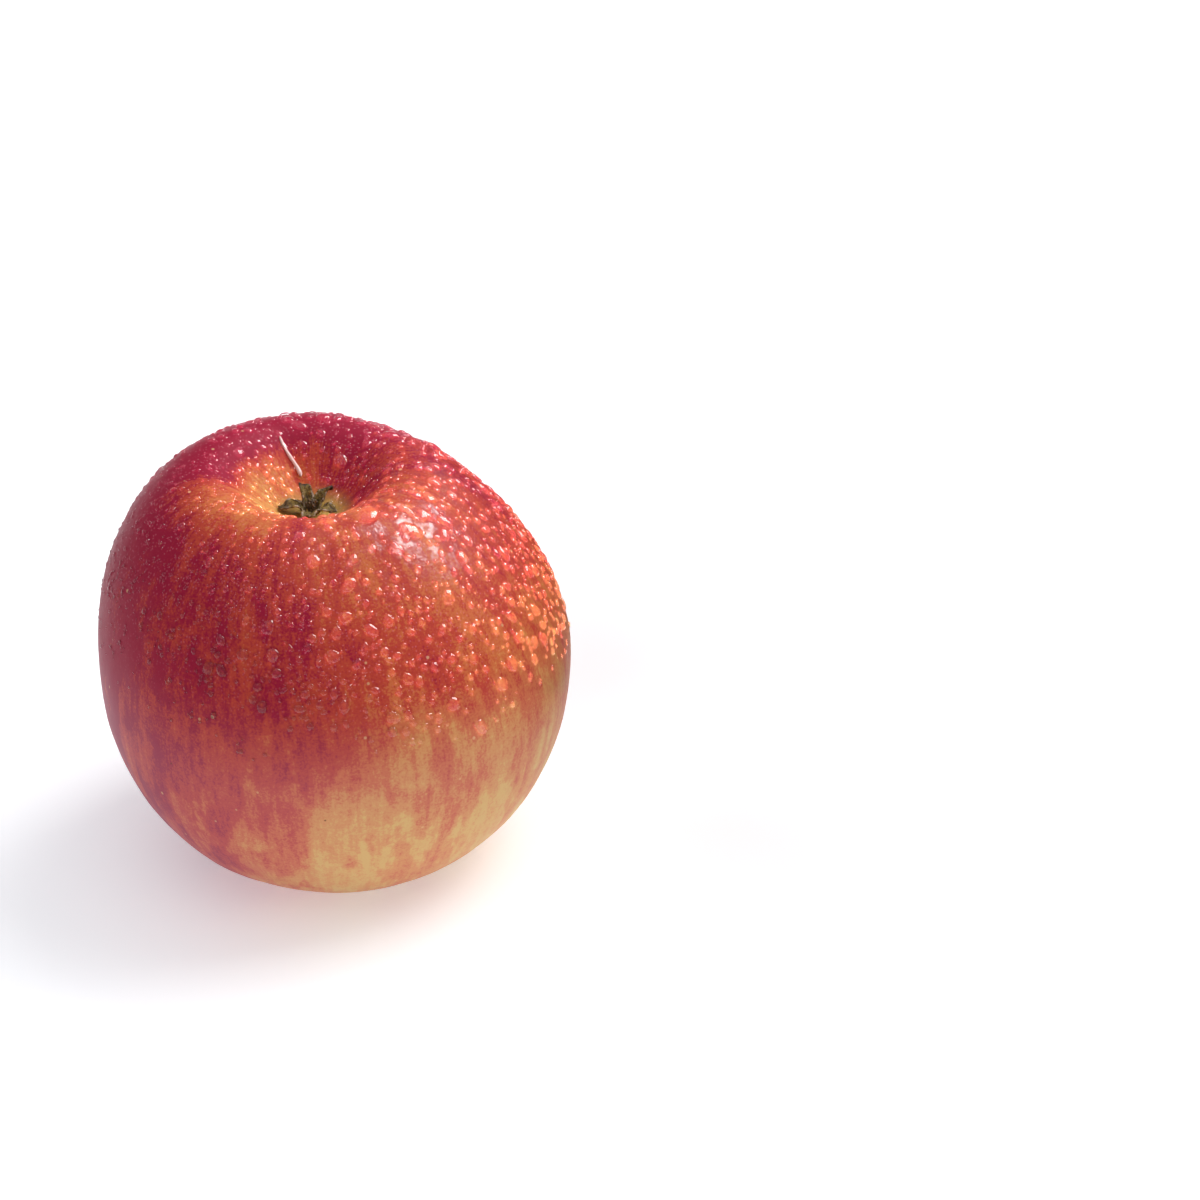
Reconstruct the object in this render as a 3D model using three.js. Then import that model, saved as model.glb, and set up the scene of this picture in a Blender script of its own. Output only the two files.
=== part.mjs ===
// A whole apple standing on its stem end. The fruit is one grown piece. On top, in the calyx basin, sit
// the five dried sepals of the flower round a tuft of withered stamens. Underneath, in the stem cavity,
// hangs the woody stem, short enough to stay clear of the table.
// Millimetres, +Z up. The origin is on the table, under the middle of the fruit's box.

import * as THREE from "three";

// Driving dimensions of the fruit.
const fruitDiameter = 80;
const fruitHeight = 69.7; // standing ring to the crest round the basin, before the ring is pressed flat
const bellyHeight = 35; // height of the widest ring
const standDiameter = 33; // ring of the shoulders that it stands on
const cavityDepth = 16; // stem cavity, up from the table
const crestDiameter = 35; // crest round the calyx basin
const basinDepth = 8.5; // calyx basin, down from the crest
const restFlat = 0.6; // how much of the standing ring is pressed flat

// Driving dimensions of the dried flower and the stem.
const sepalWidth = 3.8;
const sepalThickness = 0.8;
const sepalFootShare = 1.25; // width and thickness at its foot, as a share of the two sizes above
const sepalTipShare = 0.3; // and at its tip
const sepalCup = 0.12; // how strongly its edges curl up, per millimetre off its spine
const sepalRing = 1.7; // from the eye's centre to the foot of each sepal
const tuftRadius = 1.1;
const tuftHeight = 2.6;
const tuftRidge = 0.12; // how far its ridges stand out, as a share of its radius
const stemDiameter = 2.6;
const stemKnobDiameter = 3.9; // where the stem broke from the spur
const stemClearance = 3; // from the table up to the stem's free end
const stemBend = 1.6; // how far its free end leans sideways
const gap = 0.3; // left between pieces that touch

// Fineness of the solids.
const fruitSegments = 60;
const stretchSteps = 10; // rows along each of the outline's four stretches
const sepalSegments = 12;
const sepalRows = 10;
const stemSegments = 14;
const tuftRidges = 6;

const belly = fruitDiameter / 2;
const standRadius = standDiameter / 2;
const crestRadius = crestDiameter / 2;
const basinFloor = fruitHeight - basinDepth;

// A share that rises smoothly from 0 at low to 1 at high.
const rise = THREE.MathUtils.smoothstep;

// Moves every vertex of a geometry by a function that changes it in place.
function reshape(geometry, move) {
  const position = geometry.getAttribute("position");
  const vertex = new THREE.Vector3();
  for (let i = 0; i < position.count; i++) {
    move(vertex.fromBufferAttribute(position, i));
    position.setXYZ(i, vertex.x, vertex.y, vertex.z);
  }
  return geometry;
}

// --- Fruit ---

// Half outline in four stretches, from the floor of the stem cavity, round the standing ring, belly and
// crest, to the floor of the basin. Each stretch is one curve that leaves and arrives level or upright;
// its two shares say how far each end keeps that direction.
const at = (x, y) => new THREE.Vector2(x, y);
const between = THREE.MathUtils.lerp;
const stretch = (...points) => new THREE.CubicBezierCurve(...points).getPoints(stretchSteps);

const cavityStretch = stretch(
  at(0, cavityDepth),
  at(0.34 * standRadius, cavityDepth),
  at(0.4 * standRadius, 0),
  at(standRadius, 0),
);
const lowerStretch = stretch(
  at(standRadius, 0),
  at(between(standRadius, belly, 0.43), 0),
  at(belly, 0.43 * bellyHeight),
  at(belly, bellyHeight),
);
const upperStretch = stretch(
  at(belly, bellyHeight),
  at(belly, between(bellyHeight, fruitHeight, 0.52)),
  at(between(crestRadius, belly, 0.33), fruitHeight),
  at(crestRadius, fruitHeight),
);
const basinStretch = stretch(
  at(crestRadius, fruitHeight),
  at(0.6 * crestRadius, fruitHeight),
  at(0.48 * crestRadius, basinFloor),
  at(0, basinFloor),
);

function fruitOutline() {
  const shared = [cavityStretch, lowerStretch, upperStretch].flatMap((points) => points.slice(0, -1));
  return [...shared, ...basinStretch];
}

// Height of a stretch at a distance from the axis.
function heightOn(points, radius) {
  const next = points.findIndex((point, i) => i > 0 && (radius - point.x) * (radius - points[i - 1].x) <= 0);
  const [a, b] = [points[next - 1], points[next]];
  return THREE.MathUtils.mapLinear(radius, a.x, b.x, a.y, b.y);
}

// How the fruit grew away from a turned shape: five faint ribs down its side, an uneven swelling of the
// crest over each rib, a crease in the wall of the basin, a slightly oval girth, one shoulder higher,
// and a lean of its upper half.
const ribCount = 5;
const ribAzimuth = 5.6; // of the first rib, from +X
const ribShare = 0.01; // how far the ribs swell the side, as a share of its radius
const standRib = 0.15; // how far they lift the standing ring
const crestSwellings = [
  { azimuth: 5.55, height: 1.1, spread: 0.55 },
  { azimuth: 0.45, height: 0.5, spread: 0.4 },
  { azimuth: 1.4, height: 0.6, spread: 0.35 },
  { azimuth: 2.6, height: 0.5, spread: 0.4 },
  { azimuth: 4.3, height: 0.2, spread: 0.3 },
];
const eyeShare = 0.15; // edge of the eye, as a share of the crest's radius
const wallShare = 0.5; // middle of the basin's wall
const creaseAzimuth = 1.95;
const creaseSpread = 0.16;
const creaseDepth = 0.9;
const ovalShare = 0.007;
const ovalAzimuth = 1.07;
const highShoulder = 1.1;
const highAzimuth = 2.7;
const topLean = new THREE.Vector2(-3.7, 0.1);

// A bell round an azimuth: 1 at its middle, fading over the spread to nothing.
function bell(azimuth, middle, spread) {
  const turn = 2 * Math.PI;
  const off = THREE.MathUtils.euclideanModulo(azimuth - middle + Math.PI, turn) - Math.PI;
  return Math.exp(-((off / spread) ** 2));
}

function grow(vertex) {
  const azimuth = Math.atan2(vertex.y, vertex.x);
  const radius = Math.hypot(vertex.x, vertex.y);
  const height = vertex.z / fruitHeight;
  const inUpperHalf = vertex.z > bellyHeight;
  const rib = Math.cos(ribCount * (azimuth - ribAzimuth));
  const hump = (low, middle, high) => rise(radius, low, middle) * (1 - rise(radius, middle, high));
  const onCrest = hump(eyeShare * crestRadius, crestRadius, belly);
  const onWall = hump(eyeShare * crestRadius, wallShare * crestRadius, crestRadius);
  const onStand = hump(0, standRadius, belly);
  const offAxis = rise(radius, 0, crestRadius);

  const swell = 1 + ribShare * rib * height + ovalShare * Math.cos(2 * (azimuth - ovalAzimuth));
  vertex.x *= swell;
  vertex.y *= swell;
  if (inUpperHalf) {
    for (const swelling of crestSwellings) {
      vertex.z += swelling.height * bell(azimuth, swelling.azimuth, swelling.spread) * onCrest;
    }
    vertex.z -= creaseDepth * bell(azimuth, creaseAzimuth, creaseSpread) * onWall;
    vertex.z += highShoulder * Math.cos(azimuth - highAzimuth) * offAxis * height ** 2;
    const lean = rise(vertex.z, bellyHeight, fruitHeight);
    vertex.x += topLean.x * lean;
    vertex.y += topLean.y * lean;
  } else {
    vertex.z += standRib * (1 + rib) * onStand;
  }
  vertex.z = Math.max(vertex.z, restFlat) - restFlat;
}

function fruitGeometry() {
  const turned = new THREE.LatheGeometry(fruitOutline(), fruitSegments).rotateX(Math.PI / 2);
  return reshape(turned, grow);
}

// --- Dried sepals ---

// Five sepals, going round. Each starts at the eye, lies out over the basin floor and turns up at its
// tip: length along the floor, height of its tip, and how far the tip folds back towards the outside.
const sepals = [
  { azimuth: 3.3, length: 3.9, tip: 0.9, fold: 0.3 },
  { azimuth: 2.1, length: 2, tip: 3, fold: 1.4 },
  { azimuth: 0.85, length: 2.2, tip: 2.7, fold: 1.6 },
  { azimuth: 5.75, length: 3.4, tip: 1.1, fold: 0.4 },
  { azimuth: 4.6, length: 2.4, tip: 1.6, fold: 0.8 },
];

// A leaf bent out of a ball: the ball's axis follows the sepal's spine outwards, and the leaf narrows to
// its tip and is cupped across. Heights along the spine are above the basin's floor, which every point
// of the leaf then follows.
function sepalGeometry({ azimuth, length, tip, fold }) {
  const clear = gap + sepalThickness / 2;
  const overFloor = stretch(
    at(sepalRing, clear),
    at(sepalRing + 0.55 * length, clear),
    at(sepalRing + length - 0.5 * fold, clear + 0.6 * tip),
    at(sepalRing + length + fold, clear + tip),
  );
  const spine = new THREE.CatmullRomCurve3(overFloor.map(({ x, y }) => new THREE.Vector3(x, 0, y)));
  const across = new THREE.Vector3(0, 1, 0);
  const leaf = reshape(new THREE.SphereGeometry(1, sepalSegments, sepalRows), (vertex) => {
    const share = (vertex.y + 1) / 2;
    const narrowing = between(sepalFootShare, sepalTipShare, share);
    const normal = spine.getTangent(share).cross(across).negate();
    const side = (vertex.x * narrowing * sepalWidth) / 2;
    const lift = (vertex.z * narrowing * sepalThickness) / 2 + sepalCup * side ** 2;
    vertex.copy(spine.getPoint(share));
    vertex.addScaledVector(normal, lift);
    vertex.y += side;
    vertex.z += heightOn(basinStretch, Math.hypot(vertex.x, vertex.y));
  });
  return reshape(leaf.rotateZ(azimuth), grow);
}

// --- Tuft of withered stamens ---

// A ribbed stub with a waist, standing in the middle of the sepals. Its outline is given in shares of
// its radius and height.
function tuftGeometry() {
  const outline = [
    at(0, 0),
    at(0.6 * tuftRadius, 0),
    at(0.55 * tuftRadius, 0.4 * tuftHeight),
    at(0.9 * tuftRadius, 0.85 * tuftHeight),
    at(0.6 * tuftRadius, tuftHeight),
    at(0, 0.8 * tuftHeight),
  ];
  const turned = new THREE.LatheGeometry(outline, 2 * tuftRidges).rotateX(Math.PI / 2);
  return reshape(turned, (vertex) => {
    const ridge = Math.cos(tuftRidges * Math.atan2(vertex.y, vertex.x));
    const swell = 1 + tuftRidge * ridge;
    vertex.x *= swell;
    vertex.y *= swell;
    vertex.z += basinFloor + gap;
    grow(vertex);
  });
}

// --- Stem ---

// Woody stem from its swollen foot in the cavity down to the knob where it broke off, leaning as it
// goes. It is turned foot upwards from z = 0 and then lifted to the cavity's floor.
function stemGeometry() {
  const stemRadius = stemDiameter / 2;
  const knobRadius = stemKnobDiameter / 2;
  const footRadius = 1.2 * stemRadius;
  const footHeight = heightOn(cavityStretch, footRadius) - restFlat - gap;
  const stemLength = footHeight - stemClearance;
  const outline = [
    at(0, -stemLength),
    at(0.75 * knobRadius, -stemLength),
    at(knobRadius, -stemLength + 0.5 * knobRadius),
    at(0.92 * knobRadius, -stemLength + 1.1 * knobRadius),
    at(stemRadius, -stemLength + 2.6 * knobRadius),
    at(0.94 * stemRadius, -0.5 * stemLength),
    at(stemRadius, -0.2 * stemLength),
    at(footRadius, -0.5 * stemRadius),
    at(stemRadius, 0),
    at(0, 0),
  ];
  const turned = new THREE.LatheGeometry(outline, stemSegments).rotateX(Math.PI / 2);
  return reshape(turned, (vertex) => {
    vertex.x += stemBend * (vertex.z / stemLength) ** 2;
    vertex.z += footHeight;
  });
}

// --- Assembly ---

const skinColour = new THREE.MeshStandardMaterial({ color: 0xb8333b, roughness: 0.35 });
const sepalColour = new THREE.MeshStandardMaterial({ color: 0x6f6a3a, roughness: 0.9 });
const tuftColour = new THREE.MeshStandardMaterial({ color: 0x3f2a1c, roughness: 0.9 });
const stemColour = new THREE.MeshStandardMaterial({ color: 0x6b4a2b, roughness: 0.8 });

const apple = new THREE.Group();

function addPiece(name, geometry, material) {
  const mesh = new THREE.Mesh(geometry, material);
  mesh.name = name;
  apple.add(mesh);
}

addPiece("fruit", fruitGeometry(), skinColour);
addPiece("stamen_tuft", tuftGeometry(), tuftColour);
sepals.forEach((sepal, index) => {
  addPiece(`sepal_${index + 1}`, sepalGeometry(sepal), sepalColour);
});
addPiece("stem", stemGeometry(), stemColour);

// The lean moved the fruit's box off the axis; bring the middle of the box back over the origin.
const middle = new THREE.Box3().setFromObject(apple).getCenter(new THREE.Vector3());
for (const piece of apple.children) {
  piece.position.set(-middle.x, -middle.y, 0);
}

export default apple;
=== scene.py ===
import math
import random

import bpy
from mathutils import Matrix, Vector


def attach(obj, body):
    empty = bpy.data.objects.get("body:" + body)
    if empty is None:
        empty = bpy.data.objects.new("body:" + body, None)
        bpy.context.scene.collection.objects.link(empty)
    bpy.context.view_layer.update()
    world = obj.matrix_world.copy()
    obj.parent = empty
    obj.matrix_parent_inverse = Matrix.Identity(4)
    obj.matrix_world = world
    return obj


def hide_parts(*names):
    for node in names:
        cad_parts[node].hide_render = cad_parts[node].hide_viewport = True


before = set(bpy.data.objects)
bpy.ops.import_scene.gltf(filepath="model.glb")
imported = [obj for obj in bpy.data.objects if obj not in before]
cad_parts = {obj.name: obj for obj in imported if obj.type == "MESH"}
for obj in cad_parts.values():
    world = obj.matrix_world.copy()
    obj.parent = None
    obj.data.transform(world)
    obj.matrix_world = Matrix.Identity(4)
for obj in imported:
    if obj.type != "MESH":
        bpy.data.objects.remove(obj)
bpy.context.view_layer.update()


# --- Fruit -------------------------------------------------------------------------------------
# The whole fruit, skin over flesh, grown in one piece. The waxy skin is yellow underneath and carries
# broken crimson stripes that run from the eye to the stem, solid on the side that had the sun.


def select_only(piece):
    """Nothing else is selected when an operator acts on a piece."""
    bpy.ops.object.select_all(action="DESELECT")
    piece.select_set(True)
    bpy.context.view_layer.objects.active = piece


def finish_with(piece, kind, **settings):
    """Adds a modifier to a piece and applies it at once."""
    select_only(piece)
    modifier = piece.modifiers.new(kind.lower(), kind)
    for name, value in settings.items():
        setattr(modifier, name, value)
    bpy.ops.object.modifier_apply(modifier=modifier.name)


def add_node(tree, kind, inputs=None, **settings):
    """One node with its settings and its inputs, each a plain value or another node's output."""
    made = tree.nodes.new(kind)
    for name, value in settings.items():
        setattr(made, name, value)
    for socket, value in (inputs or {}).items():
        if isinstance(value, bpy.types.NodeSocket):
            tree.links.new(value, made.inputs[socket])
        else:
            made.inputs[socket].default_value = value
    return made


def maths(tree, operation, first, second=0.0, third=0.0):
    """One sum, of numbers or of other nodes' outputs."""
    inputs = {0: first, 1: second, 2: third}
    return add_node(tree, "ShaderNodeMath", inputs, operation=operation).outputs[0]


def ramp_between(tree, value, low, high, start=0.0, end=1.0):
    """Rises smoothly from start to end as the value goes from low to high."""
    inputs = {"Value": value, "From Min": low, "From Max": high, "To Min": start, "To Max": end}
    return add_node(tree, "ShaderNodeMapRange", inputs, interpolation_type="SMOOTHSTEP").outputs[0]


def noise_value(tree, vector, scale, detail, roughness, distortion=0.0):
    """Noise from 0 to 1, with its middle near 0.5."""
    inputs = {"Vector": vector, "Scale": scale, "Detail": detail, "Roughness": roughness}
    inputs["Distortion"] = distortion
    return add_node(tree, "ShaderNodeTexNoise", inputs).outputs["Fac"]


def mixed(tree, share, first, second):
    """Mixes two colours: the larger the share, the more of the second."""
    return add_node(tree, "ShaderNodeMix", {0: share, 6: first, 7: second}, data_type="RGBA").outputs[2]


def new_material(name):
    """A material with nothing in it yet, and its node tree."""
    material = bpy.data.materials.new(name)
    material.use_nodes = True
    material.node_tree.nodes.clear()
    return material, material.node_tree


def close_material(tree, shader):
    """Puts a finished shader on the surface."""
    add_node(tree, "ShaderNodeOutputMaterial", {"Surface": shader})


SAME_POINT = 1e-6
SWELLING_WIDTH = 0.011
SWELLING_HEIGHT = 0.00035

skin = bpy.data.objects.new("apple_skin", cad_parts["fruit"].data.copy())
bpy.context.scene.collection.objects.link(skin)
select_only(skin)
bpy.ops.object.mode_set(mode="EDIT")
bpy.ops.mesh.select_all(action="SELECT")
bpy.ops.mesh.remove_doubles(threshold=SAME_POINT)
bpy.ops.mesh.tris_convert_to_quads(face_threshold=math.radians(60), shape_threshold=math.radians(60))
bpy.ops.object.mode_set(mode="OBJECT")
finish_with(skin, "SUBSURF", levels=2, render_levels=2)

# The skin is never quite even, and where it stands it is flat on the table.
swellings = bpy.data.textures.new("skin_swellings", "CLOUDS")
swellings.noise_scale = SWELLING_WIDTH
finish_with(skin, "DISPLACE", texture=swellings, strength=SWELLING_HEIGHT, texture_coords="LOCAL")
for vertex in skin.data.vertices:
    vertex.co.z = max(0, vertex.co.z)
bpy.ops.object.shade_smooth()

# The pattern runs round a line from the stem cavity to the eye, which leans to one side.
EYE = Vector((-0.0031, 0.0001, 0.0))
CAVITY_X = 0.0002
MIDDLE_HEIGHT = 0.034

# The side of the fruit, as an azimuth in degrees, that each feature of the pattern favours.
SUNNY_SIDE = 165
PALE_STEM_END_SIDE = -78
RED_CROWN_SIDE = 25
ORANGE_CREST_SIDE = 225
RED_BASIN_SIDE = 35
WET_FILM_SIDE = -30

YELLOW_GROUND = (0.68, 0.44, 0.13, 1)
OCHRE_GROUND = (0.66, 0.29, 0.085, 1)
ORANGE_WASH = (0.60, 0.145, 0.050, 1)
RED_STRIPE = (0.50, 0.056, 0.034, 1)
CRIMSON_BLUSH = (0.32, 0.010, 0.037, 1)

BLOOM_AND_TABLE_SHEEN = (0.78, 0.48, 0.62, 1)
OLIVE_EYE = (0.42, 0.36, 0.08, 1)
CAVITY_GREEN = (0.50, 0.46, 0.13, 1)
RUSSET = (0.33, 0.20, 0.09, 1)
PALE_PORE = (0.78, 0.50, 0.26, 1)
DARK_SPECK = (0.10, 0.06, 0.03, 1)
PAINTED_DEW_GLINT = (0.92, 0.34, 0.40, 1)
PORES_PER_METRE = 230.0
DEW_PER_METRE = 1900.0

skin_material, tree = new_material("apple_skin")
place = add_node(tree, "ShaderNodeTexCoord").outputs["Object"]
split = add_node(tree, "ShaderNodeSeparateXYZ", {0: place})
x, y, z = split.outputs
leaning = ramp_between(tree, z, 0.035, 0.070, start=CAVITY_X, end=EYE.x)
from_axis = maths(tree, "SUBTRACT", x, leaning)
flat = add_node(tree, "ShaderNodeCombineXYZ", {0: from_axis, 1: y, 2: 0.0}).outputs[0]
radius = add_node(tree, "ShaderNodeVectorMath", {0: flat}, operation="LENGTH").outputs["Value"]
facing = add_node(tree, "ShaderNodeVectorMath", {0: flat}, operation="NORMALIZE").outputs["Vector"]
above = maths(tree, "SUBTRACT", z, MIDDLE_HEIGHT)
# How far down the skin from the eye a point lies: 0 at the eye, 1 at the stem.
polar = maths(tree, "DIVIDE", maths(tree, "ARCTAN2", radius, above), math.pi)


def meridian_noise(around, along, detail, roughness, distortion, seed):
    """Noise stretched from the eye to the stem: features around the girth, and along it."""
    turned = add_node(
        tree,
        "ShaderNodeVectorMath",
        {0: facing, 1: (around, around, 0.0)},
        operation="MULTIPLY",
    ).outputs["Vector"]
    third = maths(tree, "MULTIPLY_ADD", polar, along, seed)
    turned_split = add_node(tree, "ShaderNodeSeparateXYZ", {0: turned})
    inputs = {0: turned_split.outputs[0], 1: turned_split.outputs[1], 2: third}
    vector = add_node(tree, "ShaderNodeCombineXYZ", inputs).outputs[0]
    return noise_value(tree, vector, 1.0, detail, roughness, distortion)


def toward(azimuth):
    """1 on the side of the fruit that faces an azimuth, -1 on the far side."""
    direction = (math.cos(math.radians(azimuth)), math.sin(math.radians(azimuth)), 0.0)
    inputs = {0: facing, 1: direction}
    return add_node(tree, "ShaderNodeVectorMath", inputs, operation="DOT_PRODUCT").outputs["Value"]


# How much red there is: a sunny side, less towards the stem end, and in the basin its own side.
outside_red = maths(tree, "MULTIPLY_ADD", toward(SUNNY_SIDE), 0.33, 0.76)
low_down = ramp_between(tree, polar, 0.37, 0.68)
# The stem end is paler yellow, but the yellow is kept weak and turned away from the right. So the lower
# right and the bottom stay redder and darker: that part is painted shade, where nearby fruit and the
# table hold back light.
stem_end_yellow_with_painted_shade = maths(tree, "MULTIPLY_ADD", toward(PALE_STEM_END_SIDE), 0.18, 0.14)
outside_red = maths(tree, "SUBTRACT", outside_red, maths(tree, "MULTIPLY", low_down, stem_end_yellow_with_painted_shade))
high_up = ramp_between(tree, polar, 0.52, 0.22)
crown_red = maths(tree, "MULTIPLY_ADD", toward(RED_CROWN_SIDE), 0.18, 0.10)
outside_red = maths(tree, "MULTIPLY_ADD", high_up, crown_red, outside_red)
orange_side = ramp_between(tree, toward(ORANGE_CREST_SIDE), 0.72, 1.0)
crest_patch = maths(tree, "MULTIPLY", orange_side, ramp_between(tree, polar, 0.24, 0.14))
outside_red = maths(tree, "MULTIPLY_ADD", crest_patch, -0.38, outside_red)
basin_red = maths(tree, "MULTIPLY_ADD", toward(RED_BASIN_SIDE), 0.26, 0.57)
in_basin = ramp_between(tree, radius, 0.015, 0.009)
on_top = ramp_between(tree, z, 0.055, 0.060)
in_basin = maths(tree, "MULTIPLY", in_basin, on_top)
mix_red = add_node(tree, "ShaderNodeMix", {0: in_basin, 2: outside_red, 3: basin_red})
red_share = mix_red.outputs[0]

# Broad washes, patches, stripes and thin flames of pigment lie over one another.
broad = meridian_noise(around=2.4, along=3.2, detail=2.0, roughness=0.5, distortion=0.3, seed=3.1)
patches = meridian_noise(around=6.5, along=11.0, detail=3.0, roughness=0.55, distortion=0.2, seed=7.7)
stripes = meridian_noise(around=15.0, along=11.0, detail=3.0, roughness=0.6, distortion=0.2, seed=1.3)
flames = meridian_noise(around=34.0, along=11.0, detail=3.0, roughness=0.6, distortion=0.1, seed=5.9)
crisp_edges = maths(tree, "SUBTRACT", ramp_between(tree, patches, 0.46, 0.55), 0.5)
crispness = ramp_between(tree, polar, 0.46, 0.66, start=0.06, end=0.13)
uneven = 0.0
for layer, weight in ((broad, 0.40), (patches, 0.35), (stripes, 0.50), (flames, 0.34)):
    centred = maths(tree, "SUBTRACT", layer, 0.5)
    uneven = maths(tree, "MULTIPLY_ADD", centred, weight, uneven)
fading = ramp_between(tree, polar, 0.25, 0.62, start=0.65)
uneven = maths(tree, "MULTIPLY_ADD", crisp_edges, crispness, uneven)
pigment = maths(tree, "MULTIPLY_ADD", uneven, fading, red_share)

# The pigment sits in single cells and small groups of them, so it is mottled close up.
mottle = noise_value(tree, place, scale=2300.0, detail=3.0, roughness=0.7)
pigment = maths(tree, "MULTIPLY_ADD", maths(tree, "SUBTRACT", mottle, 0.5), 0.55, pigment)
blotches = noise_value(tree, place, scale=520.0, detail=3.0, roughness=0.6)
pigment = maths(tree, "MULTIPLY_ADD", maths(tree, "SUBTRACT", blotches, 0.5), 0.30, pigment)

# From no pigment to the most: yellow, ochre, orange, red and crimson.
pigment_ramp = add_node(tree, "ShaderNodeValToRGB", {0: pigment})
stops = pigment_ramp.color_ramp
stops.interpolation = "EASE"
for position, stop_colour in ((0.28, OCHRE_GROUND), (0.48, ORANGE_WASH), (0.66, RED_STRIPE)):
    stops.elements.new(position).color = stop_colour
stops.elements[0].position = 0.08
stops.elements[0].color = YELLOW_GROUND
stops.elements[-1].position = 0.90
stops.elements[-1].color = CRIMSON_BLUSH
skin_colour = pigment_ramp.outputs[0]

# The pale waxy bloom that the wet top has lost, stronger down the fruit. It is partly real bloom and
# partly a painted reflection of the bright table on the lower half.
bloom_and_sheen = ramp_between(tree, polar, 0.38, 0.54, end=0.105)
skin_colour = mixed(tree, bloom_and_sheen, skin_colour, BLOOM_AND_TABLE_SHEEN)

# Olive green round the eye, and yellow green with russet in the stem cavity.
round_eye = maths(tree, "MULTIPLY", ramp_between(tree, radius, 0.0075, 0.003, end=0.7), on_top)
skin_colour = mixed(tree, round_eye, skin_colour, OLIVE_EYE)
in_cavity = ramp_between(tree, polar, 0.86, 0.93)
scurf = meridian_noise(around=9.0, along=14.0, detail=5.0, roughness=0.65, distortion=0.4, seed=2.2)
russet = ramp_between(tree, scurf, 0.42, 0.6)
cavity_colour = mixed(tree, russet, CAVITY_GREEN, RUSSET)
skin_colour = mixed(tree, in_cavity, skin_colour, cavity_colour)

# Pale pores, spaced a few millimetres apart, some with a dark middle.
pores = add_node(tree, "ShaderNodeTexVoronoi", {"Vector": place, "Scale": PORES_PER_METRE})
pore_random = add_node(tree, "ShaderNodeSeparateXYZ", {0: pores.outputs["Color"]})
chosen = maths(tree, "GREATER_THAN", pore_random.outputs[0], 0.45)
pore = maths(tree, "MULTIPLY", ramp_between(tree, pores.outputs["Distance"], 0.085, 0.05), chosen)
skin_colour = mixed(tree, maths(tree, "MULTIPLY", pore, 0.55), skin_colour, PALE_PORE)
dark_chosen = maths(tree, "GREATER_THAN", pore_random.outputs[1], 0.86)
speck = ramp_between(tree, pores.outputs["Distance"], 0.05, 0.03, end=0.75)
skin_colour = mixed(tree, maths(tree, "MULTIPLY", speck, dark_chosen), skin_colour, DARK_SPECK)

# The finest of the spray is too small for drops of its own: it is a fine dew in the gloss and relief, and
# a painted glint in the colour.
dew = add_node(tree, "ShaderNodeTexVoronoi", {"Vector": place, "Scale": DEW_PER_METRE})
dew_random = add_node(tree, "ShaderNodeSeparateXYZ", {0: dew.outputs["Color"]})
dew_chosen = maths(tree, "GREATER_THAN", dew_random.outputs[0], 0.45)
wetted = ramp_between(tree, z, 0.036, 0.058)
bead = maths(tree, "MULTIPLY", ramp_between(tree, dew.outputs["Distance"], 0.42, 0.10), dew_chosen)
bead = maths(tree, "MULTIPLY", bead, wetted)
roughness = maths(tree, "MULTIPLY_ADD", patches, 0.12, 0.36)
roughness = maths(tree, "MULTIPLY_ADD", bead, -0.08, roughness)
basin_wall = maths(tree, "MULTIPLY", ramp_between(tree, radius, 0.020, 0.012), on_top)
roughness = maths(tree, "MULTIPLY_ADD", basin_wall, 0.26, roughness)

# Between the drops on one shoulder the water lies as a thin rippled film.
wet_patches = noise_value(tree, place, scale=260.0, detail=3.0, roughness=0.6)
film = ramp_between(tree, wet_patches, 0.45, 0.60, end=0.85)
film = maths(tree, "MULTIPLY", film, maths(tree, "SUBTRACT", 1.0, in_basin))
film = maths(tree, "MULTIPLY", film, ramp_between(tree, toward(WET_FILM_SIDE), 0.35, 0.90))
film = maths(tree, "MULTIPLY", film, ramp_between(tree, polar, 0.30, 0.20))
ripples = noise_value(tree, place, scale=1100.0, detail=3.0, roughness=0.6)
film_bump = add_node(tree, "ShaderNodeBump", {"Height": ripples, "Strength": 0.5, "Distance": 0.0002})

# The relief of the skin is its grain, with the pores and the dew standing up a little.
skin_grain = noise_value(tree, place, scale=900.0, detail=4.0, roughness=0.6)
relief = maths(tree, "MULTIPLY_ADD", pore, 0.1, maths(tree, "MULTIPLY", skin_grain, 0.25))
relief = maths(tree, "MULTIPLY_ADD", bead, 0.06, relief)
# Each bead of dew is also painted into the colour as a pale pink dot: a painted glint of the light.
skin_colour = mixed(tree, maths(tree, "MULTIPLY", bead, 0.20), skin_colour, PAINTED_DEW_GLINT)
bump = add_node(tree, "ShaderNodeBump", {"Height": relief, "Strength": 0.40, "Distance": 0.0003})
shader = add_node(
    tree,
    "ShaderNodeBsdfPrincipled",
    {
        "Base Color": skin_colour,
        "Roughness": roughness,
        "IOR": 1.40,
        "Specular IOR Level": 0.10,
        "Normal": bump.outputs[0],
        "Coat Weight": film,
        "Coat Roughness": 0.05,
        "Coat Normal": film_bump.outputs[0],
        "Coat IOR": 1.50,
    },
)
close_material(tree, shader.outputs[0])
skin.data.materials.clear()
skin.data.materials.append(skin_material)
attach(skin, "root")
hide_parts("fruit")


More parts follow.
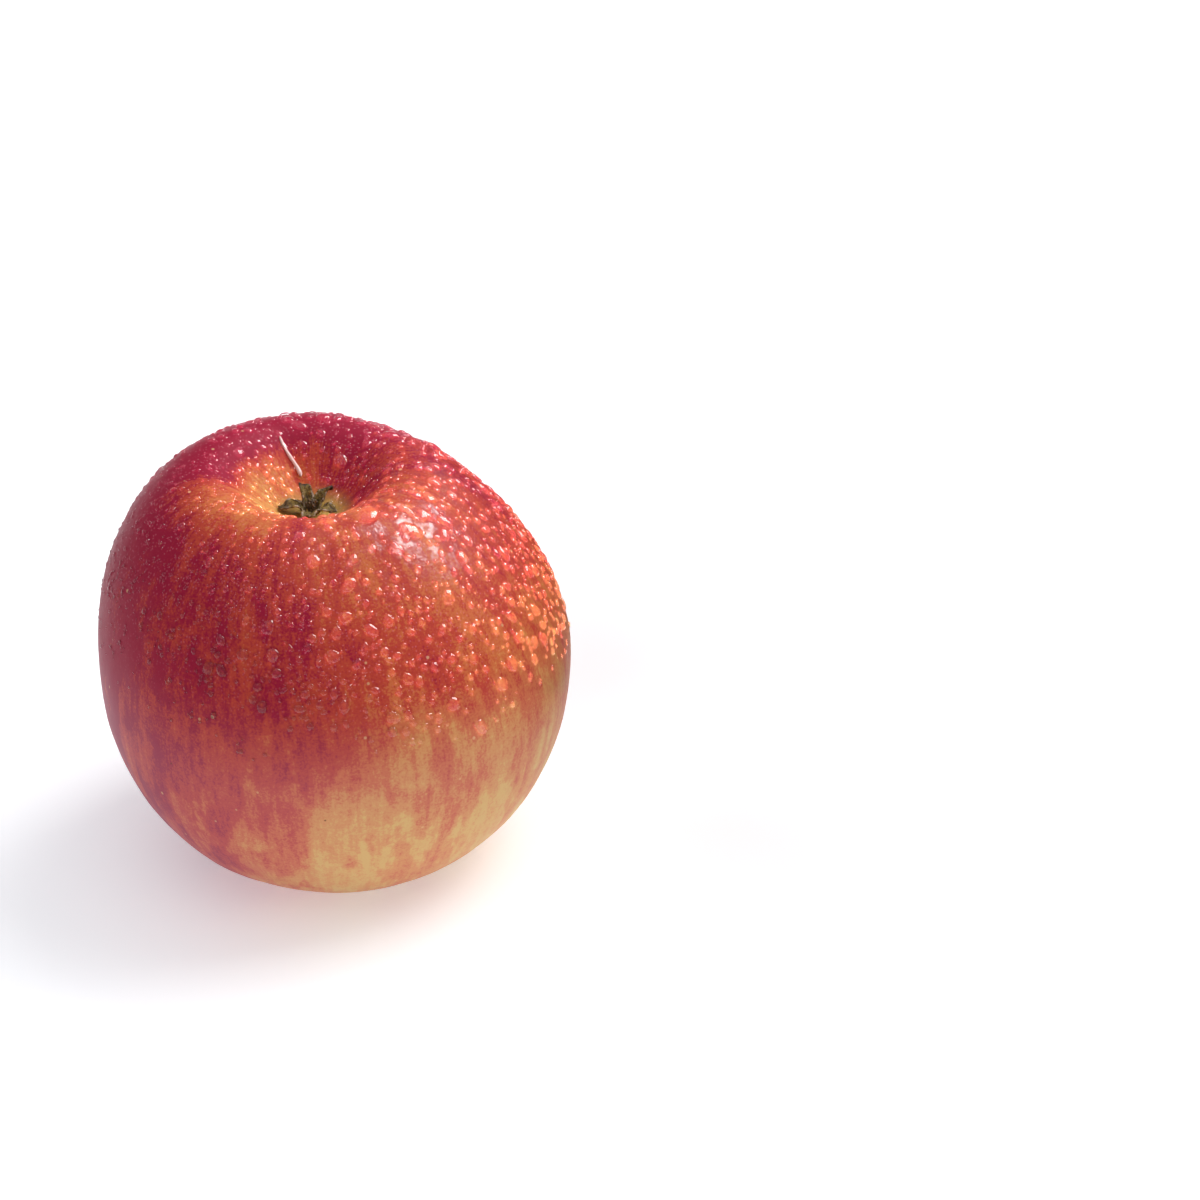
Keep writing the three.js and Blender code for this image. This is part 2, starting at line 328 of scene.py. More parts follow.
# --- Sepals ------------------------------------------------------------------------------------
# Five dried, woolly sepals stand round the eye of the fruit, which they grew out of. They are thin and
# leathery: olive at the foot, pale and hairy along the margin, and nearly black where a tip has curled.
MM = 0.001
SEPAL_THICKNESS = 0.30 * MM
WRINKLE_DEPTH = 0.5 * MM
WRINKLE_WIDTH = 0.7 * MM
SEPAL_ROWS = 16
SEPAL_COLUMNS = 6
HAIRS_PER_SEPAL = 130
HAIR_LENGTH = 0.55 * MM
HAIR_RADIUS = 0.018 * MM
HAIR_MIDDLE = 0.25 * MM
SEPAL_BROWN = (0.036, 0.014, 0.004, 1)
SEPAL_OLIVE = (0.25, 0.16, 0.035, 1)
PALE_WOOL = (0.66, 0.52, 0.40, 1)
WITHERED_BLACK = (0.035, 0.018, 0.014, 1)

# Each sepal's azimuth round the eye, width, twist at the tip, and line of (distance, height) in mm.
SEPALS = {
    "sepal_1": (3.30, 3.9, 0.2, ((1.0, 61.4), (2.2, 62.7), (3.4, 63.1), (4.5, 62.8), (5.5, 62.6))),
    "sepal_2": (
        2.10, 2.7, 0.8,
        ((1.0, 61.4), (1.5, 62.9), (1.9, 64.0), (2.5, 64.9), (3.3, 65.0), (3.5, 64.4)),
    ),
    "sepal_3": (
        0.75, 2.6, -0.9,
        ((1.0, 61.4), (1.6, 62.8), (2.3, 63.7), (3.2, 64.4), (4.0, 64.5), (4.2, 63.9)),
    ),
    "sepal_4": (5.75, 3.3, -0.3, ((1.0, 61.4), (2.2, 62.6), (3.3, 62.9), (4.2, 62.6), (4.7, 62.9))),
    "sepal_5": (4.60, 3.0, 0.3, ((1.0, 61.4), (2.1, 62.3), (3.0, 62.5), (3.8, 62.5), (4.3, 62.9))),
}


def along_line(points, share):
    """The point on a smooth line through the given points, at a share of its length."""
    reach = share * (len(points) - 1)
    first = min(int(reach), len(points) - 2)
    t = reach - first
    before, after = points[max(first - 1, 0)], points[min(first + 2, len(points) - 1)]
    start, end = points[first], points[first + 1]
    weights = (
        -0.5 * t + t * t - 0.5 * t**3,
        1 - 2.5 * t * t + 1.5 * t**3,
        0.5 * t + 2 * t * t - 1.5 * t**3,
        0.5 * t**3 - 0.5 * t * t,
    )
    near = (before, start, end, after)
    return [sum(w * p[i] for w, p in zip(weights, near)) for i in range(len(start))]


def dried_fibre():
    """Dry plant fibre: dark and pale blotches with a fine grain, for sepals, stamens and stem."""
    group = bpy.data.node_groups.new("dried_fibre", "ShaderNodeTree")
    sockets = (("Vector", "NodeSocketVector"), ("Scale", "NodeSocketFloat"), ("Dark", "NodeSocketColor"))
    for name, kind in sockets + (("Pale", "NodeSocketColor"),):
        group.interface.new_socket(name, in_out="INPUT", socket_type=kind)
    for name, kind in (("Color", "NodeSocketColor"), ("Height", "NodeSocketFloat")):
        group.interface.new_socket(name, in_out="OUTPUT", socket_type=kind)
    given = group.nodes.new("NodeGroupInput").outputs
    result = group.nodes.new("NodeGroupOutput").inputs
    vector, scale = given["Vector"], given["Scale"]
    coarse = noise_value(group, vector, scale, detail=5.0, roughness=0.65, distortion=0.5)
    finer_scale = maths(group, "MULTIPLY", scale, 5.0)
    fine = noise_value(group, vector, finer_scale, detail=3.0, roughness=0.6)
    both = maths(group, "MULTIPLY_ADD", fine, 0.45, maths(group, "MULTIPLY", coarse, 0.55))
    share = ramp_between(group, both, 0.40, 0.58)
    group.links.new(mixed(group, share, given["Dark"], given["Pale"]), result["Color"])
    group.links.new(both, result["Height"])
    return group


fibre_group = dried_fibre()


def add_fibre(tree, vector, scale, dark, pale):
    """Puts the fibre in a material, and gives its colour and its height."""
    inputs = {"Vector": vector, "Scale": scale, "Dark": dark, "Pale": pale}
    return add_node(tree, "ShaderNodeGroup", inputs, node_tree=fibre_group).outputs


def blade_width(share):
    """How wide a sepal is at a share of its length: widest near the foot, with a blunt tip."""
    if share < 0.9:
        return 0.75 + 0.9 * share - 1.45 * share**2
    return 0.42 - 2.6 * (share - 0.9)


# A flat blade a unit long and wide, drawn in to a blunt point, that every sepal is copied from.
bpy.ops.object.select_all(action="DESELECT")
bpy.ops.mesh.primitive_grid_add(x_subdivisions=SEPAL_COLUMNS, y_subdivisions=SEPAL_ROWS, size=1)
blade = bpy.context.object
blade.name = "blade"
for row in range(SEPAL_ROWS + 1):
    share = row / SEPAL_ROWS
    for vertex in blade.data.vertices:
        vertex.select = abs(vertex.co.y + 0.5 - share) < 0.01
    for edge in blade.data.edges:
        edge.select = all(blade.data.vertices[i].select for i in edge.vertices)
    for face in blade.data.polygons:
        face.select = False
    bpy.ops.object.mode_set(mode="EDIT")
    bpy.ops.transform.resize(value=(blade_width(share), 1, 1), center_override=(0, 0, 0))
    bpy.ops.object.mode_set(mode="OBJECT")

# One hair of the wool.
bpy.ops.object.select_all(action="DESELECT")
bpy.ops.mesh.primitive_cone_add(
    vertices=3,
    radius1=HAIR_RADIUS,
    depth=HAIR_LENGTH,
    location=(0, 0, HAIR_MIDDLE),
)
hair = bpy.context.object
bpy.ops.object.transform_apply(location=True)

sepal_material, tree = new_material("dried_sepal")
blade_map = add_node(tree, "ShaderNodeUVMap", uv_map="UVMap").outputs["UV"]
across, along = add_node(tree, "ShaderNodeSeparateXYZ", {0: blade_map}).outputs[:2]
place = add_node(tree, "ShaderNodeTexCoord").outputs["Object"]
fibre = add_fibre(tree, place, scale=1100.0, dark=SEPAL_BROWN, pale=SEPAL_OLIVE)
margin = ramp_between(tree, maths(tree, "ABSOLUTE", maths(tree, "SUBTRACT", across, 0.5)), 0.30, 0.47)
tufts = noise_value(tree, place, scale=1200.0, detail=4.0, roughness=0.6)
wool = ramp_between(tree, tufts, 0.42, 0.62)
pale_share = maths(tree, "MULTIPLY", maths(tree, "MULTIPLY_ADD", margin, 0.75, 0.05), wool)
sepal_colour = mixed(tree, pale_share, fibre["Color"], PALE_WOOL)
withered = ramp_between(tree, maths(tree, "MULTIPLY_ADD", wool, 0.10, along), 0.56, 0.76)
height = add_node(tree, "ShaderNodeSeparateXYZ", {0: place}).outputs[2]
curled_high = ramp_between(tree, height, 0.0625, 0.0637, start=0.25)
withered = maths(tree, "MULTIPLY", withered, curled_high)
sepal_colour = mixed(tree, maths(tree, "MULTIPLY", withered, 0.92), sepal_colour, WITHERED_BLACK)
bump = add_node(tree, "ShaderNodeBump", {"Height": fibre["Height"], "Strength": 0.6, "Distance": 0.0002})
shader = add_node(
    tree,
    "ShaderNodeBsdfPrincipled",
    {"Base Color": sepal_colour, "Roughness": 0.8, "Specular IOR Level": 0.15, "Normal": bump.outputs[0]},
)
close_material(tree, shader.outputs[0])

wrinkles = bpy.data.textures.new("sepal_wrinkles", "CLOUDS")
wrinkles.noise_scale = WRINKLE_WIDTH
wool_chance = random.Random(7)

for node, (azimuth, width, twist, line) in SEPALS.items():
    sepal = bpy.data.objects.new(node + "_dried", blade.data.copy())
    bpy.context.scene.collection.objects.link(sepal)
    outward = Vector((math.cos(azimuth), math.sin(azimuth), 0))
    sideways = Vector((-math.sin(azimuth), math.cos(azimuth), 0))
    # The blade is laid along its line, as a shallow trough that ripples and twists towards the tip.
    for vertex in sepal.data.vertices:
        share = vertex.co.y + 0.5
        distance, height = along_line(line, share)
        ahead_distance, ahead_height = along_line(line, min(1, share + 0.02))
        back_distance, back_height = along_line(line, max(0, share - 0.02))
        run = outward * (ahead_distance - back_distance)
        run.z = ahead_height - back_height
        run.normalize()
        turn = Matrix.Rotation(twist * share**2, 3, run)
        across_blade = turn @ sideways
        off_blade = turn @ sideways.cross(run)
        trough = 2.4 * vertex.co.x**2 * (1 - 0.4 * share)
        ripple = 0.22 * math.sin(11 * share + 5 * azimuth) * vertex.co.x * 2
        vertex.co = EYE + MM * (
            outward * distance
            + Vector((0, 0, height))
            + across_blade * vertex.co.x * width
            - off_blade * (trough + ripple)
        )
    finish_with(sepal, "SOLIDIFY", thickness=SEPAL_THICKNESS, offset=0)
    finish_with(sepal, "SUBSURF", levels=1, render_levels=1)
    finish_with(sepal, "DISPLACE", texture=wrinkles, strength=WRINKLE_DEPTH, texture_coords="LOCAL")
    strands = []
    for face in wool_chance.sample(list(sepal.data.polygons), HAIRS_PER_SEPAL):
        lean = Vector([wool_chance.gauss(middle, 0.5) for middle in (0, 0, 0.2)])
        turn = (face.normal + lean).to_track_quat("Z", "Y").to_matrix().to_4x4()
        shape = hair.data.copy()
        shape.transform(Matrix.Translation(face.center) @ turn)
        strand = bpy.data.objects.new("hair", shape)
        bpy.context.scene.collection.objects.link(strand)
        strands.append(strand)
    select_only(sepal)
    for strand in strands:
        strand.select_set(True)
    bpy.ops.object.join()
    bpy.ops.object.shade_smooth()
    sepal.data.materials.clear()
    sepal.data.materials.append(sepal_material)
    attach(sepal, "root")
    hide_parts(node)
bpy.data.objects.remove(blade)
bpy.data.objects.remove(hair)


# --- Stamens -----------------------------------------------------------------------------------
# The withered stamens and styles of the flower, a dry brown tuft in the middle of the eye. Each is a
# thread with a shrivelled anther at its end, and all grow from the same small cup in the fruit.
STAMEN_COUNT = 26
STAMEN_LENGTH = 2.9 * MM
STAMEN_RADIUS = 0.10 * MM
TUFT_RADIUS = 0.65 * MM
GOLDEN_TURN = 2.4
CUP_HEIGHT = 61.0 * MM
DARK_THREAD = (0.040, 0.020, 0.010, 1)
PALE_THREAD = (0.20, 0.115, 0.045, 1)
# From the foot up: how far each ring is drawn up, as a share of the length, and how much it swells.
STAMEN_PROFILE = (
    (0.30, 0.8), (0.30, 0.95), (0.22, 1.0), (0.05, 2.3), (0.06, 1.25), (0.05, 0.7), (0.02, 0.4),
)

# One stamen is drawn up from a small ring: a thin thread that widens into its anther and closes.
bpy.ops.object.select_all(action="DESELECT")
bpy.ops.mesh.primitive_circle_add(vertices=6, radius=STAMEN_RADIUS, fill_type="NGON", location=(0, 0, 0))
stamen = bpy.context.object
stamen.name = "stamen"
bpy.ops.object.mode_set(mode="EDIT")
bpy.ops.mesh.select_all(action="SELECT")
for rise, swell in STAMEN_PROFILE:
    bpy.ops.mesh.extrude_region_move(TRANSFORM_OT_translate={"value": (0, 0, rise * STAMEN_LENGTH)})
    bpy.ops.transform.resize(value=(swell, swell, 1))
bpy.ops.mesh.select_all(action="SELECT")
bpy.ops.mesh.normals_make_consistent(inside=False)
bpy.ops.object.mode_set(mode="OBJECT")

tuft_chance = random.Random(12)
stamens = []
for index in range(STAMEN_COUNT):
    turn = index * GOLDEN_TURN + tuft_chance.uniform(-0.3, 0.3)
    spread = math.sqrt((index + 0.5) / STAMEN_COUNT)
    outward = Vector((math.cos(turn), math.sin(turn), 0))
    length = tuft_chance.uniform(0.55, 1.0)
    curl = tuft_chance.uniform(-0.35, 0.25) * MM
    lean = tuft_chance.uniform(0.0, 0.35) * spread
    shape = stamen.data.copy()
    for vertex in shape.vertices:
        share = vertex.co.z / STAMEN_LENGTH
        vertex.co.z *= length
        vertex.co += EYE + Vector((0, 0, CUP_HEIGHT)) + outward * (TUFT_RADIUS * spread)
        vertex.co += outward * (lean * share * STAMEN_LENGTH + curl * share**2)
    thread = bpy.data.objects.new("stamen", shape)
    bpy.context.scene.collection.objects.link(thread)
    stamens.append(thread)
select_only(stamens[0])
for thread in stamens:
    thread.select_set(True)
bpy.ops.object.join()
tuft = stamens[0]
tuft.name = "dried_stamens"
finish_with(tuft, "SUBSURF", levels=1, render_levels=1)
bpy.ops.object.shade_smooth()
bpy.data.objects.remove(stamen)

stamen_material, tree = new_material("dried_stamen")
place = add_node(tree, "ShaderNodeTexCoord").outputs["Object"]
fibre = add_fibre(tree, place, scale=1500.0, dark=DARK_THREAD, pale=PALE_THREAD)
bump = add_node(tree, "ShaderNodeBump", {"Height": fibre["Height"], "Strength": 0.5, "Distance": 0.0001})
shader = add_node(
    tree,
    "ShaderNodeBsdfPrincipled",
    {"Base Color": fibre["Color"], "Roughness": 0.8, "Normal": bump.outputs[0]},
)
close_material(tree, shader.outputs[0])
tuft.data.materials.clear()
tuft.data.materials.append(stamen_material)
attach(tuft, "root")
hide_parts("stamen_tuft")


# --- Stem --------------------------------------------------------------------------------------
# The short woody stem, grown out of the bottom of the stem cavity. It is brown bark with pale breathing
# pores, leans a little, and ends in the rough knob where it broke off the tree.
STEM_Y = -0.1 * MM
DARK_BARK = (0.075, 0.038, 0.020, 1)
PALE_BARK = (0.27, 0.17, 0.085, 1)
LENTICEL = (0.48, 0.36, 0.22, 1)
RIDGE_WIDTH = 1.1 * MM
RIDGE_HEIGHT = 0.28 * MM

# The height, the offset to the side and the radius in mm, of the root and of each ring down to the knob.
STEM_TOP = (14.6, 0.2, 1.25)
STEM_RINGS = (
    (13.2, 0.22, 1.22),
    (11.4, 0.28, 1.20),
    (9.6, 0.42, 1.22),
    (8.0, 0.64, 1.26),
    (6.6, 0.92, 1.32),
    (5.6, 1.14, 1.46),
    (4.8, 1.32, 1.74),
    (4.0, 1.46, 1.92),
    (3.4, 1.54, 1.80),
    (3.12, 1.58, 1.45),
    (3.25, 1.58, 1.10),
    (3.10, 1.62, 0.55),
)

last_height, last_offset, last_radius = STEM_TOP
bpy.ops.object.select_all(action="DESELECT")
bpy.ops.mesh.primitive_circle_add(
    vertices=16,
    radius=last_radius * MM,
    fill_type="NGON",
    location=(last_offset * MM, STEM_Y, last_height * MM),
)
stem = bpy.context.object
stem.name = "woody_stem"
bpy.ops.object.transform_apply(location=True)
bpy.ops.object.mode_set(mode="EDIT")
bpy.ops.mesh.select_all(action="SELECT")
for height, offset, radius_mm in STEM_RINGS:
    step = ((offset - last_offset) * MM, 0, (height - last_height) * MM)
    bpy.ops.mesh.extrude_region_move(TRANSFORM_OT_translate={"value": step})
    grow = radius_mm / last_radius
    centre = (offset * MM, STEM_Y, height * MM)
    bpy.ops.transform.resize(value=(grow, grow, 1), center_override=centre)
    last_height, last_offset, last_radius = height, offset, radius_mm
bpy.ops.mesh.select_all(action="SELECT")
bpy.ops.mesh.normals_make_consistent(inside=False)
bpy.ops.object.mode_set(mode="OBJECT")
finish_with(stem, "SUBSURF", levels=2, render_levels=2)
bark = bpy.data.textures.new("bark_ridges", "CLOUDS")
bark.noise_scale = RIDGE_WIDTH
bark.noise_depth = 3
finish_with(stem, "DISPLACE", texture=bark, strength=RIDGE_HEIGHT, mid_level=0.6, texture_coords="LOCAL")
bpy.ops.object.shade_smooth()

stem_material, tree = new_material("stem_bark")
place = add_node(tree, "ShaderNodeTexCoord").outputs["Object"]
drawn = add_node(tree, "ShaderNodeMapping", {"Vector": place, "Scale": (1.0, 1.0, 0.35)}).outputs[0]
fibre = add_fibre(tree, drawn, scale=700.0, dark=DARK_BARK, pale=PALE_BARK)
lenticels = add_node(tree, "ShaderNodeTexVoronoi", {"Vector": place, "Scale": 900.0})
spot = ramp_between(tree, lenticels.outputs["Distance"], 0.26, 0.16)
spot_colour = add_node(tree, "ShaderNodeSeparateXYZ", {0: lenticels.outputs["Color"]}).outputs[0]
spot = maths(tree, "MULTIPLY", spot, maths(tree, "GREATER_THAN", spot_colour, 0.72))
bark_colour = mixed(tree, spot, fibre["Color"], LENTICEL)
height = maths(tree, "MULTIPLY_ADD", spot, 0.5, fibre["Height"])
bump = add_node(tree, "ShaderNodeBump", {"Height": height, "Strength": 0.7, "Distance": 0.0003})
shader = add_node(
    tree,
    "ShaderNodeBsdfPrincipled",
    {"Base Color": bark_colour, "Roughness": 0.75, "Normal": bump.outputs[0]},
)
close_material(tree, shader.outputs[0])
stem.data.materials.clear()
stem.data.materials.append(stem_material)
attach(stem, "root")
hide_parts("stem")


# --- Water drops -------------------------------------------------------------------------------
# Clear drops from a fine spray. They cling to the waxy skin wherever it faces up, as low domes from a
# third of a millimetre to four millimetres across, and most of them are about one.


def water_dome(name, segments, rings, squat):
    """A drop a unit in radius: the squashed top of a ball, with a closed skirt that sinks in the skin."""
    bpy.ops.object.select_all(action="DESELECT")
    bpy.ops.mesh.primitive_uv_sphere_add(segments=segments, ring_count=rings, radius=1)
    dome = bpy.context.object
    dome.name = name
    bpy.ops.object.mode_set(mode="EDIT")
    bpy.ops.mesh.select_all(action="SELECT")
    bpy.ops.mesh.bisect(plane_co=(0, 0, -0.02), plane_no=(0, 0, 1), clear_inner=True)
    bpy.ops.mesh.select_all(action="DESELECT")
    bpy.ops.mesh.select_non_manifold()
    bpy.ops.mesh.extrude_region_move(TRANSFORM_OT_translate={"value": (0, 0, -0.35)})
    bpy.ops.mesh.edge_face_add()
    bpy.ops.mesh.select_all(action="SELECT")
    bpy.ops.transform.resize(value=(1, 1, squat), center_override=(0, 0, 0))
    bpy.ops.mesh.normals_make_consistent(inside=False)
    bpy.ops.object.mode_set(mode="OBJECT")
    return dome


small_dome = water_dome("small_dome", segments=8, rings=4, squat=0.60)
large_dome = water_dome("large_dome", segments=11, rings=6, squat=0.50)
great_dome = water_dome("great_dome", segments=18, rings=8, squat=0.45)

# Radii: the ones above which a drop is large, great or heavy, the usual one, and the limits.
LARGE_DROP = 0.00038
GREAT_DROP = 0.00095
USUAL_DROP = 0.00061
HEAVY_DROP = 0.0004
FINEST_DROP = 0.00017
BIGGEST_SPRAY_DROP = 0.0013
SIZE_SPREAD = 0.44
SPRAY_TRIES = 5200
LOBES = (2, 3, 4)

# The spray came from one side. On the other its drops are a share of the size, up to this x, from where
# they coarsen to full size.
FINE_SIDE_SHARE = 0.36
FINE_SIDE_X = -0.032
COARSENS_OVER = 0.037

# How near two drops may lie, as a share of their radii together, and the cells that they are kept in.
CLOSEST = 0.93
CELL = 0.0045

# How steep the skin may be for the spray to hold, as the upward part of its normal, and how much less
# steep it has to be to hold all of it.
STEEPEST = 0.08
EASIER = 0.32

# Drops that have run together: azimuth, elevation from the middle of the fruit, radius, unevenness.
RUN_TOGETHER = (
    (-64, 65, 0.0020, 0.05),
    (-93, 53, 0.0012, 0.05),
    (-36, 17, 0.0013, 0.08),
    (-49, 57, 0.0019, 0.45),
    (-35, 59, 0.0015, 0.55),
    (-42, 63, 0.0013, 0.50),
    (-59, 54, 0.0013, 0.35),
    (-27, 55, 0.0014, 0.45),
    (-78, 53, 0.0010, 0.20),
    (-20, 62, 0.0012, 0.40),
    (-12, 38, 0.0013, 0.25),
    (-2, 27, 0.0012, 0.20),
)

chance = random.Random(41)
skin.data.calc_loop_triangles()
corners = skin.data.vertices
triangles = [t for t in skin.data.loop_triangles if t.normal.z > STEEPEST]
areas = [t.area for t in triangles]
taken = {}
drop_copies = {"fine_spray": [], "water_drops": []}


def fits(centre, reach):
    """True where a drop of that reach touches no other drop, and then its place is taken."""
    key = [int(math.floor(c / CELL)) for c in centre]
    for i in (-1, 0, 1):
        for j in (-1, 0, 1):
            for k in (-1, 0, 1):
                for other, size in taken.get((key[0] + i, key[1] + j, key[2] + k), ()):
                    if (other - centre).length < CLOSEST * (size + reach):
                        return False
    taken.setdefault(tuple(key), []).append((centre, reach))
    return True


def lay_drop(centre, normal, size, stretch, unevenness=0.16):
    """Lays one drop on the skin, drawn out a little downhill."""
    downhill = Vector((0, 0, -1)) + normal * normal.z
    downhill = Matrix.Rotation(chance.gauss(0, 0.6), 3, normal) @ downhill.normalized()
    side = normal.cross(downhill)
    axes = Matrix((downhill * stretch, side / math.sqrt(stretch), normal)).transposed() * size
    model = great_dome if size > GREAT_DROP else large_dome if size > LARGE_DROP else small_dome
    shape = model.data.copy()
    if size > LARGE_DROP:
        turns = [chance.uniform(0, math.tau) for lobe in LOBES]
        for vertex in shape.vertices:
            around = math.atan2(vertex.co.y, vertex.co.x)
            swell = sum(
                unevenness / lobe * math.cos(lobe * around + turn) for lobe, turn in zip(LOBES, turns)
            )
            vertex.co.x *= 1 + swell
            vertex.co.y *= 1 + swell
    shape.transform(Matrix.Translation(centre) @ axes.to_4x4())
    drop = bpy.data.objects.new("drop", shape)
    bpy.context.scene.collection.objects.link(drop)
    drop_copies["water_drops" if size > LARGE_DROP else "fine_spray"].append(drop)


for azimuth, elevation, size, unevenness in RUN_TOGETHER:
    turn, rise = math.radians(azimuth), math.radians(elevation)
    outward = Vector((math.cos(turn) * math.cos(rise), math.sin(turn) * math.cos(rise), math.sin(rise)))
    start = Vector((0, 0, MIDDLE_HEIGHT)) + outward * 0.08
    _, centre, normal, _ = skin.ray_cast(start, -outward)
    if fits(centre, size):
        lay_drop(centre, normal, size, stretch=1.15, unevenness=unevenness)

for triangle in chance.choices(triangles, weights=areas, k=SPRAY_TRIES):
    a, b, c = (corners[i].co for i in triangle.vertices)
    u, v = chance.random(), chance.random()
    if u + v > 1:
        u, v = 1 - u, 1 - v
    centre = a + (b - a) * u + (c - a) * v
    normal = triangle.normal.copy()
    facing_up = min(1, max(0, (normal.z - STEEPEST) / EASIER))
    if chance.random() > facing_up:
        continue
    full_size = min(1, max(0, (centre.x - FINE_SIDE_X) / COARSENS_OVER))
    coarse = FINE_SIDE_SHARE + (1 - FINE_SIDE_SHARE) * full_size
    size = USUAL_DROP * math.exp(chance.gauss(0, SIZE_SPREAD)) * coarse
    size = min(BIGGEST_SPRAY_DROP, max(FINEST_DROP, size))
    # Heavy drops run off the steep sides.
    if size > HEAVY_DROP and chance.random() > facing_up:
        continue
    if fits(centre, size):
        lay_drop(centre, normal, size, stretch=chance.uniform(1.0, 1.3))

for dome in (small_dome, large_dome, great_dome):
    bpy.data.objects.remove(dome)

water, tree = new_material("clear_water")
wet = add_node(
    tree,
    "ShaderNodeBsdfPrincipled",
    {"Base Color": (1, 1, 1, 1), "Roughness": 0.02, "IOR": 1.4, "Transmission Weight": 1.0},
)
# Water lets the light through to the skin, so a drop throws only a faint shadow.
lit_through = add_node(tree, "ShaderNodeBsdfTransparent", {"Color": (0.76, 0.76, 0.76, 1)})
is_shadow = add_node(tree, "ShaderNodeLightPath").outputs["Is Shadow Ray"]
shaders = {0: is_shadow, 1: wet.outputs[0], 2: lit_through.outputs[0]}
shader = add_node(tree, "ShaderNodeMixShader", shaders)
close_material(tree, shader.outputs[0])

for name, copies in drop_copies.items():
    select_only(copies[0])
    for drop in copies:
        drop.select_set(True)
    bpy.ops.object.join()
    bpy.ops.object.shade_smooth()
    copies[0].name = name
    copies[0].data.materials.append(water)
    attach(copies[0], "root")

# A thread of water has run down the crease of the basin towards the eye. Its pale pink, mostly opaque
# colour is a painted highlight, standing in for the key light's reflection along the thread.
glint_painted_water, tree = new_material("water_with_painted_glint")
shader = add_node(
    tree,
    "ShaderNodeBsdfPrincipled",
    {"Base Color": (1.0, 0.70, 0.66, 1), "Roughness": 0.35, "IOR": 1.33, "Transmission Weight": 0.15},
)
close_material(tree, shader.outputs[0])
CREASE_AZIMUTH = 2.0
THREAD_POINTS = 20
THREAD_START = 0.0142
THREAD_RUN = 0.0060
THREAD_TIP_RADIUS = 0.00008
line = bpy.data.curves.new("water_thread", "CURVE")
line.dimensions = "3D"
line.bevel_depth = 1.0
line.bevel_resolution = 4
line.use_fill_caps = True
run = line.splines.new("POLY")
run.points.add(THREAD_POINTS - 1)
# It wanders a little, and thickens unevenly towards the eye.
for index, point in enumerate(run.points):
    share = index / (THREAD_POINTS - 1)
    distance = THREAD_START - THREAD_RUN * share
    azimuth = CREASE_AZIMUTH - 0.13 * share + 0.03 * math.sin(5 * share)
    above_skin = EYE + Vector((distance * math.cos(azimuth), distance * math.sin(azimuth), 0.1))
    _, spot, facing_skin, _ = skin.ray_cast(above_skin, Vector((0, 0, -1)))
    point.co = (*(spot + facing_skin * 0.00006), 1)
    point.radius = 0.00017 + 0.00017 * share + 0.00006 * math.sin(9 * share) ** 2
    if index in (0, THREAD_POINTS - 1):
        point.radius = THREAD_TIP_RADIUS
thread = bpy.data.objects.new("water_thread", line)
bpy.context.scene.collection.objects.link(thread)
select_only(thread)
bpy.ops.object.convert(target="MESH")
thread = bpy.context.object
bpy.ops.object.shade_smooth()
thread.data.materials.clear()
thread.data.materials.append(glint_painted_water)
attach(thread, "root")


# --- Table, light and camera -------------------------------------------------------------------
# The apple stands on a plain white table in a soft studio light: a large box light high on the right
# behind it, white surroundings, and a camera that looks down on it from the front.
APPLE_MIDDLE = Vector((0, 0, 0.0353))
COOL_WHITE = (0.91, 0.95, 1, 1)

bpy.ops.object.select_all(action="DESELECT")
bpy.ops.mesh.primitive_plane_add(size=6, location=(0, 0, 0))
table_top = bpy.context.object
table_top.name = "table_top"
table_material, tree = new_material("white_table")
shader = add_node(
    tree,
    "ShaderNodeBsdfPrincipled",
    {
        "Base Color": (0.93, 0.93, 0.93, 1),
        "Roughness": 0.7,
        "Emission Color": (0.90, 0.95, 1, 1),
        "Emission Strength": 0.36,
    },
)
close_material(tree, shader.outputs[0])
table_top.data.materials.append(table_material)


def area_light(name, place, side, power):
    """A white square of light that is aimed at the middle of the apple."""
    light = bpy.data.lights.new(name, "AREA")
    light.shape = "RECTANGLE"
    light.size = side
    light.size_y = side
    light.energy = power
    lamp = bpy.data.objects.new(name, light)
    bpy.context.scene.collection.objects.link(lamp)
    lamp.location = place
    lamp.rotation_euler = (APPLE_MIDDLE - Vector(place)).to_track_quat("-Z", "Y").to_euler()
    return lamp


toward_key = Vector((0.584, 0.352, 0.741)).normalized()
area_light("key_box", APPLE_MIDDLE + 0.9 * toward_key, side=0.70, power=7)
area_light("ceiling_box", (0, 0, 1.6), side=2.4, power=11)
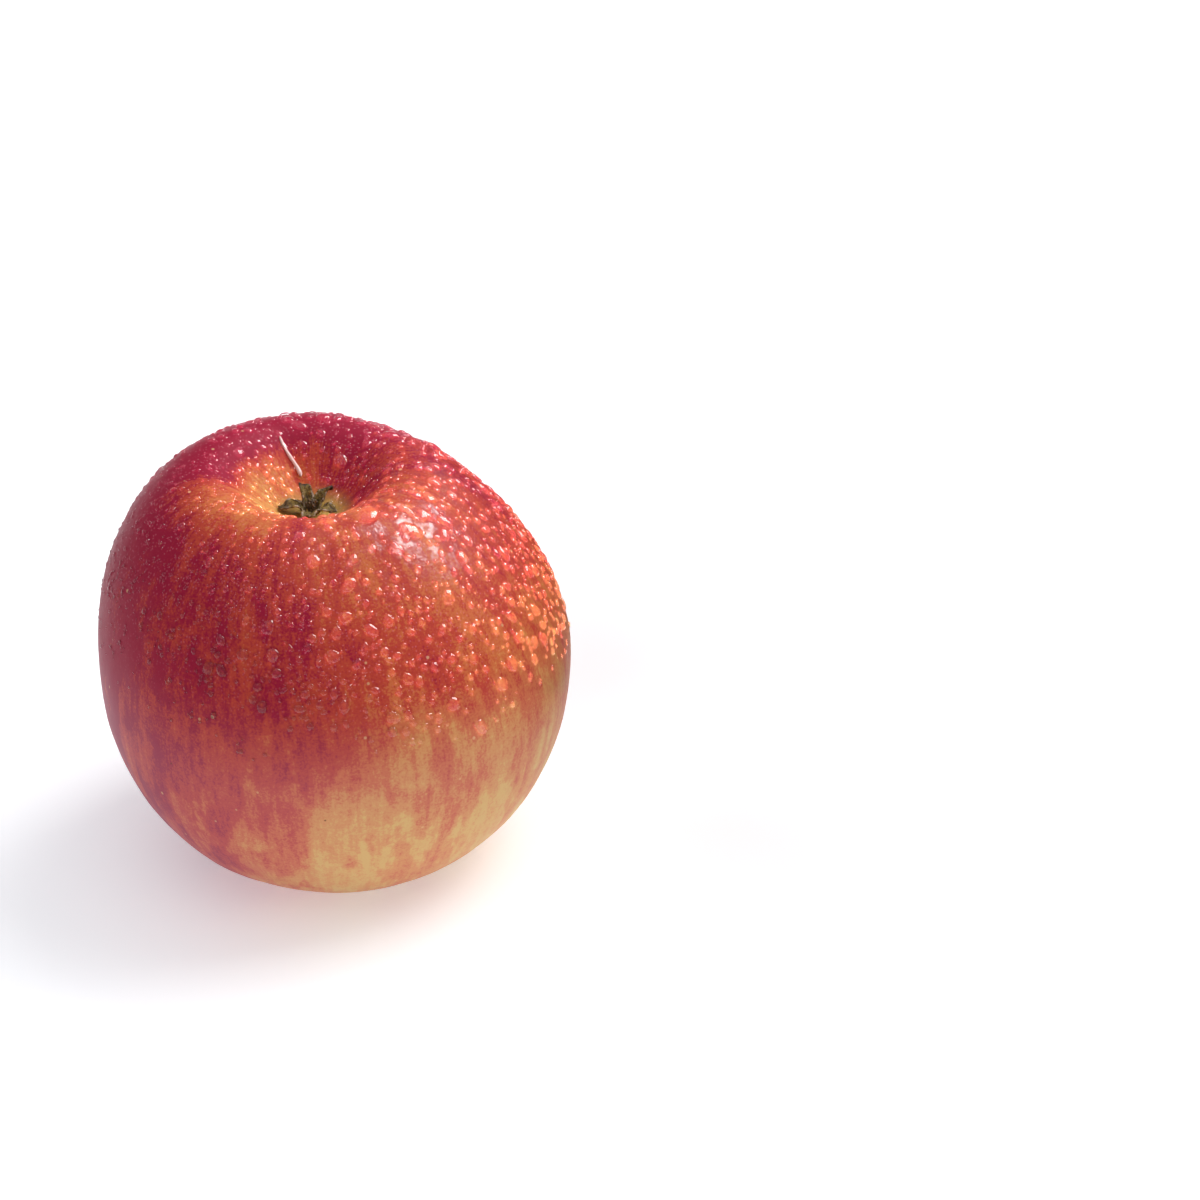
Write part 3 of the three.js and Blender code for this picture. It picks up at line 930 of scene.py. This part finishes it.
# The bright middle of the key light, which only its reflections in wet skin and drops show.
glint = area_light("key_middle", APPLE_MIDDLE + 0.88 * toward_key, side=0.56, power=12)
glint.visible_diffuse = False

# Two dark balls close by on the right, which the camera does not see, keep that edge of the fruit from
# glowing in the white surroundings.
BALL_RADIUS = 0.036
BALL_PLACES = ((0.046, 0.064, 0.042), (0.078, -0.006, 0.042))

ball_material, tree = new_material("dark_ball")
dull_brown = {"Base Color": (0.08, 0.03, 0.025, 1), "Roughness": 0.6}
shader = add_node(tree, "ShaderNodeBsdfPrincipled", dull_brown)
close_material(tree, shader.outputs[0])
for ball_place in BALL_PLACES:
    bpy.ops.object.select_all(action="DESELECT")
    bpy.ops.mesh.primitive_uv_sphere_add(segments=32, ring_count=16, radius=BALL_RADIUS)
    dark_ball = bpy.context.object
    dark_ball.name = "dark_ball"
    dark_ball.location = ball_place
    dark_ball.data.materials.append(ball_material)
    dark_ball.visible_camera = False
    dark_ball.visible_shadow = False
    dark_ball.visible_transmission = False

world = bpy.data.worlds.new("white_studio")
bpy.context.scene.world = world
world.use_nodes = True
world.node_tree.nodes["Background"].inputs["Color"].default_value = COOL_WHITE
world.node_tree.nodes["Background"].inputs["Strength"].default_value = 0.36

# The apple stands a little to the left of the middle of the frame, and a little low.
CAMERA_DISTANCE = 0.700
CAMERA_RIGHT = 0.0445
CAMERA_UP = 0.0081
VIEW_DOWN = math.radians(30)

camera = bpy.data.objects.new("camera", bpy.data.cameras.new("camera"))
bpy.context.scene.collection.objects.link(camera)
bpy.context.scene.camera = camera
ahead = Vector((0, math.cos(VIEW_DOWN), -math.sin(VIEW_DOWN)))
to_right = Vector((1, 0, 0))
upward = to_right.cross(ahead)
camera.location = APPLE_MIDDLE - CAMERA_DISTANCE * ahead + CAMERA_RIGHT * to_right + CAMERA_UP * upward
camera.rotation_euler = ahead.to_track_quat("-Z", "Y").to_euler()
camera.data.sensor_width = 36
camera.data.lens = 124.7
camera.data.clip_start = 0.05
camera.data.clip_end = 20
bpy.context.scene.view_settings.view_transform = "Standard"
bpy.context.scene.view_settings.look = "None"
